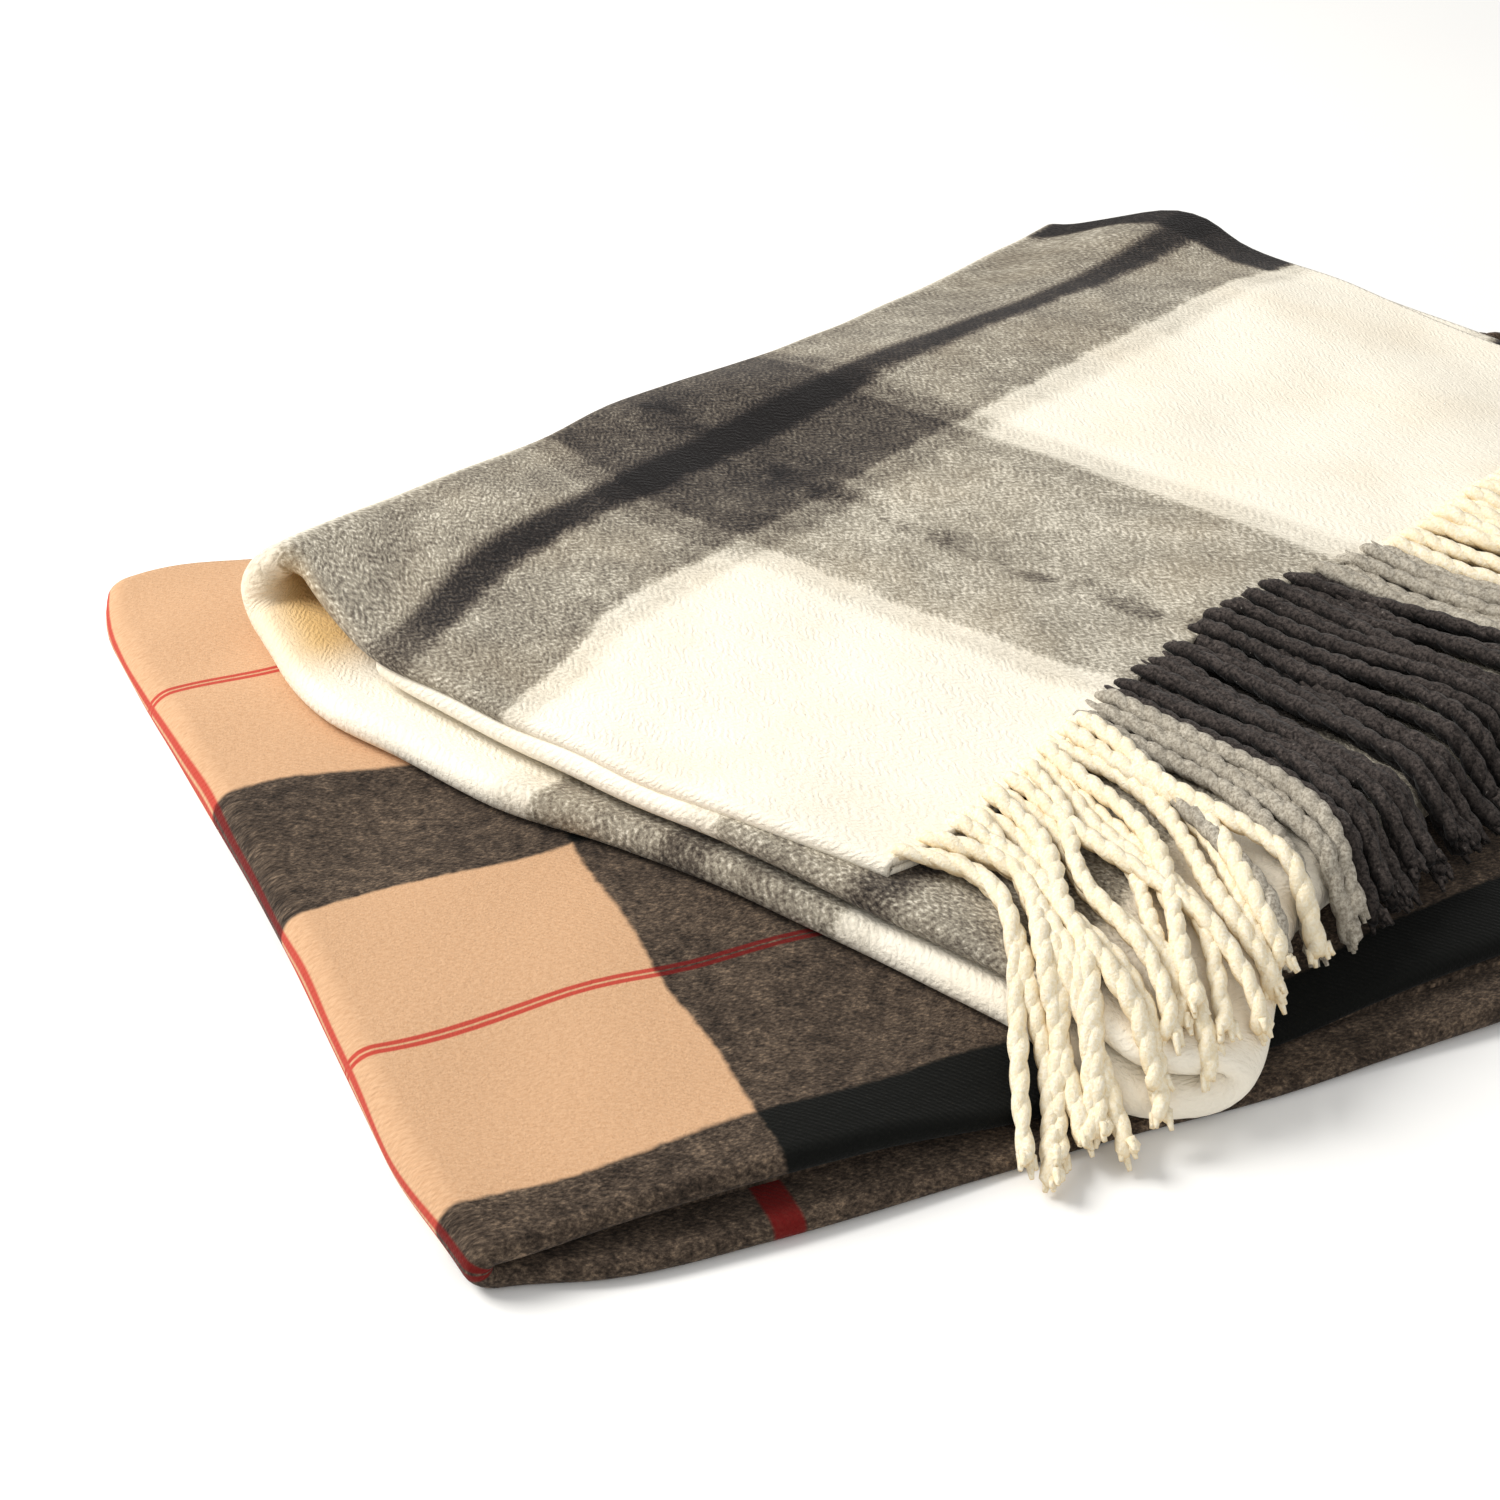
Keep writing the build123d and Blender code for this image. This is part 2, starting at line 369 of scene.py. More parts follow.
def cream_plaid():
    """The upper throw: cream, with grey bands that cross, each with a dark line in it."""
    g = Graph("cream_plaid_wool")
    vector, s, t = g.uv("cloth")
    twill = weave(g, vector, s, t, pitch=0.0036)
    fleck = g.math("SUBTRACT", g.noise(g.stretched(vector, 1.0, 1.8), 430.0, 3.0, 0.7), 0.5)
    tuft = g.math("SUBTRACT", g.noise(vector, 130.0, 3.0, 0.6), 0.5)
    blot = g.math("SUBTRACT", g.noise(vector, 30.0, 2.0, 0.5), 0.5)
    jitter = g.math("ADD", g.math("MULTIPLY", tuft, 0.0045), g.math("MULTIPLY", blot, 0.005))
    sj, tj = g.math("ADD", s, jitter), g.math("SUBTRACT", t, jitter)
    # bands across the length: each grey, with a paler strip on either side and a dark line in it
    weft_gap = g.distance(sj, centre=0.252, repeat=0.335)
    weft_band = g.math("SUBTRACT", 1.0, g.rise(weft_gap, 0.061, 0.071))
    weft = g.math("MULTIPLY", weft_band, 0.76)
    strip = g.math("SUBTRACT", 1.0, g.rise(weft_gap, 0.074, 0.086))
    weft = g.math("MAXIMUM", weft, g.math("MULTIPLY", strip, 0.26))
    line = g.math("SUBTRACT", 1.0, g.rise(weft_gap, 0.0040, 0.0150))
    # one such band along each half of the width, with a broken line in it
    away = g.math("ABSOLUTE", tj)
    warp = g.math("MULTIPLY", g.band(away, 0.152, 0.291, 0.005), 0.60)
    warp = g.math("MAXIMUM", warp, g.math("MULTIPLY", g.band(away, 0.139, 0.304, 0.005), 0.24))
    patchy = g.rise(g.noise(vector, 45.0, 2.0, 0.6), 0.38, 0.62)
    thin = g.math("MULTIPLY", g.band(away, 0.202, 0.214, 0.006), patchy)
    warp = g.math("MULTIPLY_ADD", thin, 0.50, warp)
    selvedge = g.math("MULTIPLY", g.rise(away, 0.560, 0.567), weft_band)
    warp = g.math("MAXIMUM", warp, selvedge)
    # half is how dark the wool is: where two bands cross, it is dark in both directions
    half = g.math("MULTIPLY", g.math("ADD", weft, warp), 0.5)
    line = g.math("MULTIPLY", line, g.math("MULTIPLY_ADD", g.rise(away, 0.004, 0.040), 0.27, 0.19))
    half = g.math("ADD", half, line)
    # the mixed yarns show most where the tone is between cream and black
    open_part = g.math("MULTIPLY", g.math("SUBTRACT", 1.25, half), half)
    mottle = g.math("MULTIPLY_ADD", twill, 0.16, g.math("MULTIPLY", fleck, 3.0))
    mottle = g.math("MULTIPLY_ADD", tuft, 0.9, mottle)
    dark = g.math("MULTIPLY_ADD", mottle, g.math("MULTIPLY_ADD", open_part, 0.95, 0.015), half)
    dark = g.math("MULTIPLY_ADD", g.math("MULTIPLY", blot, open_part), 0.9, dark)
    colour = g.ramp(dark, (0.0, linear(247, 240, 224)), (0.13, linear(222, 215, 199)),
                    (0.32, linear(156, 149, 134)), (0.55, linear(94, 86, 77)),
                    (0.78, linear(44, 39, 37)), (1.0, linear(20, 17, 17)))
    cloud = g.rise(g.noise(vector, 16.0, 2.0), 0.40, 0.75)
    tint = g.math("MULTIPLY", cloud, g.math("MULTIPLY_ADD", half, -0.26, 0.18))
    colour = g.mix(g.math("MAXIMUM", tint, 0.0), colour, linear(226, 202, 164))
    # painted warm shade inside the outer left fold, where it is open in front: light bounced inside the
    # cream loop, painted into the colour
    in_fold = g.band(s, OUTER_FOLD[0] * MM - 0.03, OUTER_FOLD[1] * MM + 0.05, 0.02)
    inside = g.math("MULTIPLY", g.band(t, 0.006, 0.050, 0.016), in_fold)
    colour = g.mix(g.math("MULTIPLY", inside, 0.85), colour, linear(212, 168, 88))
    height = g.math("MULTIPLY_ADD", twill, 0.16, g.math("MULTIPLY_ADD", fleck, 1.3, tuft))
    return g.finish(colour, height, 0.0005, sheen=0.10)


ACROSS = dict(centre=0.0153, repeat=0.2325)   # the lower cloth's bands along its length, in t
ALONG = dict(centre=-0.287, repeat=0.907)     # and its bands across, from its left fold


def camel_plaid():
    """The lower throw: camel, with wide charcoal bands and fine twin rust lines."""
    g = Graph("camel_plaid_wool")
    vector, s, t = g.uv("cloth")
    fleck = g.noise(g.stretched(vector, 1.0, 1.9), 520.0, 3.0, 0.7)
    tuft = g.noise(vector, 170.0, 3.0, 0.6)
    fine = g.noise(vector, 1100.0, 2.0, 0.7)
    blot = g.noise(vector, 34.0, 2.0, 0.5)
    twill = g.math("SINE", g.math("MULTIPLY", g.math("ADD", s, t), 2 * pi / 0.0024))
    # the bands' edges wander slowly and are ragged
    sweep = g.noise(vector, 9.0, 1.0)
    shift = g.math("MULTIPLY_ADD", tuft, 0.003, g.math("MULTIPLY", sweep, 0.022))
    shift = g.math("SUBTRACT", shift, 0.0125)
    sj = g.math("ADD", g.math("SUBTRACT", s, FOLD_LINE), shift)
    tj = g.math("ADD", t, shift)
    across_gap = g.distance(tj, **ACROSS)
    across = g.math("SUBTRACT", 1.0, g.rise(across_gap, 0.0368, 0.0392))
    across = g.math("MULTIPLY", across, g.rise(t, -0.405, -0.400))
    inner = g.rise(t, 0.70, 0.704)   # the third ply is plain charcoal
    across = g.math("MAXIMUM", across, inner)
    along_gap = g.distance(sj, **ALONG)
    along = g.math("SUBTRACT", 1.0, g.rise(along_gap, 0.1868, 0.1892))
    # twin lines midway between the bands and at the left fold, and a stripe on the bottom leaf
    slow = g.math("MULTIPLY_ADD", sweep, 0.022, -0.011)
    from_fold = g.math("SUBTRACT", g.math("ADD", s, g.math("MULTIPLY", slow, 0.35)), FOLD_LINE)
    from_band = g.distance(g.math("ADD", t, slow), **ACROSS)
    from_middle = g.math("SUBTRACT", ACROSS["repeat"] / 2, from_band)
    twins = [g.band(g.math("ABSOLUTE", value), 0.0004, 0.0024, 0.0004)
             for value in (from_middle, g.math("SUBTRACT", from_fold, 0.0006))]
    line = g.math("MAXIMUM", g.math("MAXIMUM", *twins), g.band(from_fold, 0.092, 0.102, 0.0008))
    line = g.math("MULTIPLY", line, g.math("SUBTRACT", 1.0, inner))
    both = g.math("MULTIPLY", across, along)
    either = g.math("MAXIMUM", across, along)
    camel = g.mix(g.rise(fleck, 0.3, 0.75), linear(209, 170, 134), linear(192, 151, 115))
    speck = g.math("MULTIPLY_ADD", g.math("SUBTRACT", tuft, 0.5), 0.55, fleck)
    speck = g.math("MULTIPLY_ADD", g.math("SUBTRACT", blot, 0.5), 0.25, speck)
    melange = g.ramp(speck, (0.28, linear(33, 28, 24)), (0.46, linear(64, 54, 46)),
                     (0.60, linear(92, 79, 67)), (0.80, linear(142, 121, 100)))
    night = g.mix(fleck, linear(7, 8, 7), linear(22, 23, 21))
    colour = g.mix(either, camel, melange)
    colour = g.mix(both, colour, night)
    rust = g.mix(either, linear(180, 54, 46), linear(104, 20, 19))
    colour = g.mix(g.math("MULTIPLY", line, 0.92), colour, rust)
    height = g.math("MULTIPLY_ADD", twill, 0.16, g.math("MULTIPLY", fine, 1.2))
    height = g.math("MULTIPLY_ADD", tuft, 1.2, height)
    return g.finish(colour, height, 0.00034, sheen=0.06)


def yarn(name, light, dark, under, flecks, share=0.45, lit=0.45):
    """Twisted wool yarn: fibres along its twist, loose flecks, and painted shade on its underside.

    lit is how far up a strand has to face to lose that painted shade; under is the painted shade's
    colour.
    """
    g = Graph(name)
    where = g.tree.nodes.new("ShaderNodeTexCoord")
    parts = g.tree.nodes.new("ShaderNodeSeparateXYZ")
    g.tree.links.new(where.outputs["Normal"], parts.inputs[0])
    up = parts.outputs[2]
    fibre = g.noise(where.outputs["Object"], 750.0, 3.0, 0.7)
    cloud = g.noise(where.outputs["Object"], 70.0, 2.0)
    colour = g.mix(g.rise(fibre, 0.3, 0.7), dark, light)
    colour = g.mix(g.math("MULTIPLY", g.rise(cloud, 0.35, 0.7), 0.30), colour, dark)
    # painted shade: where a strand faces down, its colour is mixed towards under (warm bounced light on
    # the cream yarn, near black on the charcoal)
    below = g.math("SUBTRACT", 1.0, g.rise(up, lit - 1.15, lit))
    colour = g.mix(g.math("MULTIPLY", below, share), colour, under)
    colour = g.mix(g.math("MULTIPLY", g.rise(fibre, 0.68, 0.76), 0.7), colour, flecks)
    return g.finish(colour, fibre, 0.0006, sheen=0.08)


FOLD_INSET = 10          # from the lower throw's left end to where its fold begins to turn
FOLD_LINE = (lower_top_length - FOLD_INSET + 7) * MM   # the length at the crest of that fold
camel_cloth = camel_plaid()
# the third colour of each yarn is its painted underside shade
yarns = {
    "cream": yarn("cream_yarn", linear(250, 243, 225), linear(238, 222, 186),
                  linear(218, 182, 116), linear(252, 249, 240), share=0.55),
    "grey": yarn("grey_yarn", linear(202, 195, 180), linear(134, 126, 113),
                 linear(84, 76, 68), linear(232, 226, 212)),
    "charcoal": yarn("charcoal_yarn", linear(88, 80, 76), linear(30, 27, 26),
                     linear(5, 4, 4), linear(176, 170, 164), share=0.92, lit=0.92),
    "camel": yarn("camel_yarn", linear(112, 96, 80), linear(52, 43, 36),
                  linear(30, 24, 20), linear(170, 140, 108)),
}

# ---------------------------------------------------------------- the lower throw
LEAF = 9.85              # how thick one leaf of three plies is
PLY = LEAF / 3
lower_path = Path(
    (lower_top_length, lower_top - LEAF / 2), pi,
    [("run", lower_top_length - FOLD_INSET), ("turn", (lower_top - LEAF) / 2, pi),
     ("run", lower_length - FOLD_INSET)])


def lower_fronts(x, top):
    """Where the folded front edge of each leaf is: top is 1 on the top leaf, 0 on the bottom one."""
    upper = through(x, [(-12, 3), (10, 1), (42, 0), (123, -6), (250, -9), (420, -7), (620, -4)])
    under = through(x, [(-12, 3), (10, 0), (40, -10), (89, -16), (187, -20), (278, -25),
                        (358, -27), (480, -22), (620, -14)])
    return under + (upper - under) * top


def lower_sheet():
    """Three plies across and one fold at the left, as one sheet."""
    s = samples(lower_path.marks, 8.0, 1.1, 40)
    back = back_columns(lower_depth - 8, 8.0)
    reach = back[-1]
    radius = 3.2          # of the nose where plies 1 and 2 meet in front
    small = PLY / 2       # of the turn where plies 2 and 3 meet at the back
    quarter = radius * pi / 2
    # each column of the sheet: its depth from the front, its height in the leaf, its width t
    columns = []
    for d in back[::-1]:
        columns.append((d + radius, PLY, -(d + quarter)))
    for a in NOSE_ANGLES[::-1]:
        columns.append((radius * (1 - cos(a)), PLY - radius + radius * sin(a), -(radius * a)))
    for a in NOSE_ANGLES[1:]:
        columns.append((radius * (1 - cos(a)), PLY - radius - radius * sin(a), radius * a))
    for d in back:
        height = (PLY - 2 * radius) * (1 - smooth(d + radius, radius, 34))
        columns.append((d + radius, height, quarter + d))
    for a in np.linspace(0, pi, 9)[1:-1]:
        columns.append((reach + radius + small * sin(a), -small + small * cos(a),
                        quarter + reach + small * a))
    for d in back[::-1]:
        if d > 14:
            columns.append((d + radius, -PLY, quarter + reach + small * pi + reach - d))
    deep, offset, t = (row[None, :] for row in np.array(columns, float).T)
    u, z, nu, nz = (column[:, None] for column in lower_path.at(s))
    _, turn_start, turn_end, _ = lower_path.marks
    top = (1 - smooth(s, turn_start - 2, turn_end + 2))[:, None]
    x = u + nu * offset
    zz = z + nz * offset
    front = lower_fronts(x, top)
    yy = deep + front * (1 - smooth(deep, 0, 260))
    # the left fold stands out a little towards the back, and its corners are round
    left = 1 - smooth(x, 0, 130)
    x = x - left * (7 + 10 * smooth(yy, 150, 420)) * smooth(yy, -10, 60)
    corner = np.clip((yy - (lower_depth - 40)) / 40, 0, 1) * (1 - smooth(x, -10, 60))
    x = x + 9 * corner**2
    yy = yy + 20 * smooth(yy, 230, lower_depth) * np.exp(-(((x - 18) / 58) ** 2))
    yy = yy + 10 * smooth(yy, 200, lower_depth) * smooth(x, 60, 200) * (1 - smooth(x, 420, 560))
    yy = yy + 1.6 * waves(x, 0 * x, 140, 31) * smooth(np.abs(deep - 200), 60, 200)
    # in front the two leaves stand a little apart
    apart = (1 - smooth(yy - front, 0, 42)) * smooth(x, 6, 75) * (1 - smooth(x, 190, 300))
    zz = zz + apart * (2.0 * top - 0.26 * zz * (1 - top))
    # the front fold's top edge is soft, so the cloth falls away towards it
    zz = zz - 1.2 * (zz / lower_top) * (1 - smooth(yy - front, 0, 26))
    # the bands wander a little, as on a cloth laid by hand
    t = t + 3.4 * waves(x, yy, 105, 57)
    thickness = PLY - 0.35
    return make_sheet("lower_cloth", lay_lower(x, yy, zz), s[:, None], t, thickness, camel_cloth)


lower_cloth = lower_sheet()
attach(lower_cloth, "lower_throw")
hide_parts("lower_bottom_leaf", "lower_top_leaf", "lower_left_fold")

# ---------------------------------------------------------------- the upper throw
# u of the cloth's two ends and of where its right and inner left folds begin to turn
ROOT, TUCKED_ROOT, RIGHT, INNER_LEFT = 300.0, 270.0, 416.2, 62.8
LAYER, LAYER_STEP = 7.6, 8.0   # how thick a doubled layer is, and from one layer to the next
BOTTOM_Z, TUCKED_Z, SECOND_Z, TOP_Z = (upper_base + LAYER / 2 + n * LAYER_STEP for n in range(4))
TOP_Z -= 0.4
upper_path = Path(
    (ROOT, TOP_Z), pi,
    [("run", ROOT - HINGE_U), ("turn", (TOP_Z - BOTTOM_Z) / 2, pi), ("run", RIGHT - HINGE_U),
     ("turn", (SECOND_Z - BOTTOM_Z) / 2, pi), ("run", RIGHT - INNER_LEFT),
     ("turn", (SECOND_Z - TUCKED_Z) / 2, pi), ("run", TUCKED_ROOT - INNER_LEFT)])
# the lengths along the cloth at which each fold's turn begins and ends
OUTER_FOLD, RIGHT_FOLD, INNER_FOLD = (upper_path.marks[i:i + 2] for i in (1, 3, 5))
# v of each leaf's folded front edge, by u; where the outer fringe is rooted, u by v; and how the
# selvedges at the back wander, by u
TOP_FRONT = [(-32, 56), (-18, 45), (-7, 35), (10, 27), (28, 20.5), (60, 13.5), (100, 15), (161, 20),
             (242, 27.5), (314, 42)]
BOTTOM_FRONT = [(-32, 21), (-14, 14), (5, 6), (22, -1), (50, -7), (95, -4), (143, -2), (187, 9),
                (270, 19), (352, 28), (386, 29), (404, 32), (416, 44), (428, 66)]
SECOND_FRONT = [(50, 17), (78, 14), (130, 16), (217, 21), (285, 27), (352, 33), (386, 35),
                (404, 39), (416, 50), (428, 68)]
ROOT_LINE = [(0, 292), (36, 296), (58, 300.5), (144, 297), (213, 293.5), (297, 298), (336, 312),
             (408, 318), (500, 316), (604, 306)]
FAR_LINE = [(-30, -50), (-6, -44), (18, -12), (45, -3), (80, -10), (123, -22), (248, -46),
            (340, -40), (430, -28)]
TUCKED_FRONT = 50
DOUBLED_WIDTH = 585.0    # of the cloth folded along its middle
BACK_EDGE = 604.0        # v at its selvedges
CLOTH = 3.4              # how thick one ply is
cream_cloth = cream_plaid()


def set_back(v):
    """How far the rolled layers' right end draws back behind the drooping front corner."""
    return 22 * smooth(v, 64, 130)


def draw_back(u, v):
    """How far a point of those layers moves with their right end."""
    return set_back(v) * smooth(u, 330, 428)


def far_wander(u, v):
    """How far a point moves with the uneven selvedges at the back."""
    return through(u, FAR_LINE) * smooth(v, 330, BACK_EDGE)


def upper_shape(s):
    """At lengths s: the front edge, the radius of its nose, and how far the nose stands up."""
    u = upper_path.at(s)[0]
    fold_start, fold_end = OUTER_FOLD
    on_top = 1 - smooth(s, fold_start - 12, 0.45 * fold_start + 0.55 * fold_end)
    on_tucked = smooth(s, *INNER_FOLD)
    on_second = smooth(s, RIGHT_FOLD[0] + 4, RIGHT_FOLD[1] - 4) * (1 - on_tucked)
    on_bottom = 1 - on_top - on_second - on_tucked
    fronts = (on_top * through(u, TOP_FRONT) + on_bottom * through(u, BOTTOM_FRONT)
              + on_second * through(u, SECOND_FRONT) + on_tucked * TUCKED_FRONT)
    in_fold = 4 * smooth(s, fold_start - 20, fold_end) * (1 - smooth(s, fold_start, fold_end + 20))
    nose = on_top * 2.1 + on_bottom * 4.6 + on_second * 3.3 + on_tucked * 2.0 + in_fold * 0.9
    rise = on_bottom * 2.6 + on_second * 0.2 - on_top * 0.2
    return fronts, nose, rise


def upper_sheet():
    """Two plies with the fold in front, rolled over three times along the length, as one sheet."""
    s = samples(upper_path.marks, 8.5, 1.6, 45)
    depth = DOUBLED_WIDTH - 6
    back = back_columns(depth, 9.0)
    # each column: the ply it is in, its distance behind the nose, its angle round the nose
    upright, ahead = np.full(len(back), pi / 2), np.zeros(len(NOSE_ANGLES))
    side = np.concatenate([np.ones(len(back) + len(ahead)), -np.ones(len(ahead) - 1 + len(back))])
    distance = np.concatenate([back[::-1], ahead, ahead[1:], back])
    angle = np.concatenate([upright, NOSE_ANGLES[::-1], NOSE_ANGLES[1:], upright])
    t = -side * (distance + 4 * angle)
    u, z, nu, nz = (a[:, None] for a in upper_path.at(s))
    fronts, nose, rise = (a[:, None] for a in upper_shape(s))
    flat = (LAYER - 3.7) / 2
    decay = np.exp(-((distance / 26.0) ** 2))[None, :]
    spread = flat + (nose - flat) * decay
    offset = side * spread * np.sin(angle)
    room = (BACK_EDGE - fronts - nose) / depth
    v = fronts + nose * (1 - np.cos(angle)) + distance * room
    uu = u + nu * offset
    zz = z + nz * offset + rise * decay
    # the cloth's end follows its own uneven line, and the far edge wanders
    top = (1 - smooth(s, *OUTER_FOLD))[:, None]
    uu = uu + top * (through(v, ROOT_LINE) - ROOT) * smooth(u, 60, ROOT)
    v = v + far_wander(uu, v) * (0.55 + 0.45 * top)
    skew = 22 * (1 - smooth(v, 14, 105)) * smooth(u, -16, 60) * (1 - smooth(u, 90, 240)) * top
    uu = uu - draw_back(uu, v) * (1 - top)
    # a bulge at the back of the outer left fold
    zz = zz + 8 * np.exp(-(((u - 40) / 38) ** 2)) * smooth(v, 430, BACK_EDGE) * top
    uu = uu + 2.2 * waves(v, 0 * v, 190, 41) * smooth(np.abs(uu - 200), 120, 230)
    v = v + 1.0 * waves(uu, zz * 4, 90, 43) * (1 - smooth(distance, 0, 60))
    piece = make_sheet("upper_cloth", lay_upper(uu, v, zz), s[:, None] + skew, t, CLOTH, cream_cloth)
    weight = 1 - smooth(s, OUTER_FOLD[0] - 6, OUTER_FOLD[1] + 6)
    return piece, np.repeat(weight, len(side)).astype(np.float32)


upper_cloth, opening_weight = upper_sheet()
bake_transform(upper_cloth)
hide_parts("upper_bottom_leaf", "upper_tucked_leaf", "upper_second_leaf",
            "upper_right_fold", "upper_inner_left_fold", "upper_outer_left_fold", "upper_top_leaf")


# ---------------------------------------------------------------- fringes
SETTLING_ROUNDS = 16     # of smoothing a strand's droop


def curve_through(points, step):
    """Evenly spaced points on a smooth line through a few points."""
    p = np.array(points, float)
    p = np.vstack([2 * p[0] - p[1], p, 2 * p[-1] - p[-2]])
    out = []
    for a, b, c, d in zip(p[:-3], p[1:-2], p[2:-1], p[3:]):
        for k in np.linspace(0, 1, 12, endpoint=False):
            out.append(0.5 * (2 * b + (c - a) * k + (2 * a - 5 * b + 4 * c - d) * k**2
                              + (3 * b - a - 3 * c + d) * k**3))
    out.append(p[-2])
    out = np.array(out)
    length = np.concatenate([[0], np.cumsum(np.linalg.norm(np.diff(out, axis=0), axis=1))])
    at = np.linspace(0, length[-1], max(3, int(length[-1] / step) + 1))
    return np.stack([np.interp(at, length, out[:, i]) for i in range(3)], -1), at


def sides_of(line):
    """Two directions across a line at each of its points, turning as little as they can."""
    tangent = np.gradient(line, axis=0)
    tangent /= np.linalg.norm(tangent, axis=1)[:, None]
    across = np.zeros_like(line)
    a = np.cross(tangent[0], (0, 0, 1.0))
    across[0] = a / np.linalg.norm(a)
    for i in range(1, len(line)):
        a = across[i - 1] - tangent[i] * (across[i - 1] @ tangent[i])
        across[i] = a / np.linalg.norm(a)
    return across, np.cross(tangent, across)


class Yarns:
    """Gathers tubes of yarn into one mesh."""

    def __init__(self):
        self.points, self.faces, self.count = [], [], 0

    def tube(self, line, radii, sides=7):
        """A closed tube round a line, with a radius at each of its points."""
        a, b = sides_of(line)
        angles = np.linspace(0, 2 * pi, sides, endpoint=False)[None, :, None]
        ring = np.cos(angles) * a[:, None] + np.sin(angles) * b[:, None]
        points = line[:, None] + ring * np.asarray(radii)[:, None, None]
        n = len(line)
        index = self.count + np.arange(n * sides).reshape(n, sides)
        after = np.roll(index, -1, axis=1)
        quads = np.stack([index[:-1], after[:-1], after[1:], index[1:]], -1).reshape(-1, 4)
        self.points.append(points.reshape(-1, 3))
        self.faces.extend(quads.tolist())
        self.faces.append(index[0, ::-1].tolist())
        self.faces.append(index[-1].tolist())
        self.count += n * sides

    def strand(self, points, radius, pitch, phase, fray=True):
        """Two plies twisted round each other, thin at the root and loose at the tip."""
        line, at = curve_through(points, 2.2)
        left = at[-1] - at
        a, b = sides_of(line)
        turn = 2 * pi * at / pitch + phase
        tip = np.clip((9 - left) / 9, 0, 1)
        root = smooth(at, -6, 15)
        swell = 1 + 0.10 * np.sin(at / 9 + phase * 3) + 0.05 * np.sin(at / 3.1 + phase)
        apart = radius * (0.24 + 0.34 * tip**2)
        blunt = 1 - 0.55 * np.clip((2.4 - left) / 2.4, 0, 1) ** 2
        size = radius * 0.80 * swell * (0.2 + 0.8 * root) * blunt
        ahead = line[-1] - line[-2]
        ahead = ahead / np.linalg.norm(ahead)
        for k in (0, pi):
            centre = (line + a * (apart * np.cos(turn + k))[:, None]
                      + b * (apart * np.sin(turn + k))[:, None])
            self.tube(centre, size)
            if fray:
                away = a[-1] * cos(turn[-1] + k) + b[-1] * sin(turn[-1] + k)
                self.frayed_end(centre[-1], ahead, away)

    def frayed_end(self, tip, ahead, away):
        """Three short locks of fibres at the end of one ply."""
        for _ in range(3):
            spin = rng.normal(0, 0.8, 3)
            reach = rng.uniform(4.0, 6.5)
            start = tip - ahead * 3.5 + spin * 0.7
            middle = start + ahead * reach * 0.6 + away * reach * 0.05 + spin * 0.2
            end = start + ahead * reach + away * reach * 0.12 + spin * 0.5
            end[2] = max(end[2], 1.2)
            lock, _ = curve_through([start, middle, end], 1.4)
            self.tube(lock, 1.55 * np.linspace(1, 0.25, len(lock)) ** 0.5, 6)

    def piece(self, name, body, material, slot, nodes):
        """The mesh as one piece of the visual model."""
        mesh = bpy.data.meshes.new(name)
        mesh.from_pydata((np.vstack(self.points) * MM).tolist(), [], self.faces)
        mesh.polygons.foreach_set("use_smooth", [True] * len(mesh.polygons))
        mesh.materials.append(material)
        made = bpy.data.objects.new(name, mesh)
        bpy.context.scene.collection.objects.link(made)
        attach(made, body)
        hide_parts(*nodes)
        return made


def dome(inside, reach):
    """0 outside an edge, rising roundly to 1 at reach inside it."""
    k = np.clip(np.asarray(inside, float) / reach, 0, 1)
    return np.sqrt(1 - (1 - k) ** 2)


def under_strands(u, v):
    """Height of what the outer fringe lies on: the rolled layers, the lower throw or the floor."""
    _, _, x, y = plan_point(u, v)
    beyond = 1 - 0.4 * smooth(x, lower_top_length - 5, lower_top_length + 30)
    beyond = beyond * (1 - smooth(x, lower_top_length + 120, lower_top_length + 160))
    # how far inside the front and back edges of the lower throw's two leaves
    behind = lower_depth + 6 - y
    in_top = np.minimum(y - lower_fronts(x, 1.0) + 2, behind)
    in_foot = y - lower_fronts(x, 0.0) + 2
    top = (11 + 9 * dome(in_top, 6)) * (in_top > 0)
    foot = (3 + 6.5 * dome(in_foot, 6)) * (in_foot > 0) * (behind > 0)
    lower = np.maximum(top, foot) * press(x, y) * relief(x, y) * beyond
    # how far inside the rolled layers' right end and front edges
    end = 429.5 - set_back(v) - u
    in_second = np.minimum(end, v - through(u, SECOND_FRONT))
    in_bottom = np.minimum(end, v - through(u, BOTTOM_FRONT))
    second = lay_upper(u, v, 32 + 12.4 * dome(in_second, 11))[:, 2] / MM * (in_second > 0)
    bottom = lay_upper(u, v, 27 + 8.4 * dome(in_bottom, 8))[:, 2] / MM * (in_bottom > 0)
    return np.maximum(lower, np.maximum(second, bottom))


def droop_route(u, v, z0, headings, clearance):
    """Points of a strand that leaves the cloth at z0 and settles on what is under it."""
    step = STRAND_LENGTH / len(headings)
    us = u + np.concatenate([[0], np.cumsum(step * np.cos(headings))])
    vs = v + np.concatenate([[0], np.cumsum(step * np.sin(headings))])
    floor_z = under_strands(us, vs) + clearance
    z = floor_z.copy()
    z[0] = z0
    z[1] = max(z[1], z0 - 1.0)
    for _ in range(SETTLING_ROUNDS):
        z[1:-1] = np.maximum(floor_z[1:-1], (z[:-2] + 2 * z[1:-1] + z[2:]) / 4)
        z[0] = z0
        z[-1] = max(floor_z[-1], 2 * z[-2] - z[-3])
    wx, wy, _, _ = plan_point(us, vs)
    points = np.stack([wx, wy, z], -1)
    run = np.concatenate([[0], np.cumsum(np.linalg.norm(np.diff(points, axis=0), axis=1))])
    at = np.linspace(0, min(STRAND_LENGTH, run[-1]), 14)
    return np.stack([np.interp(at, run, points[:, i]) for i in range(3)], -1)


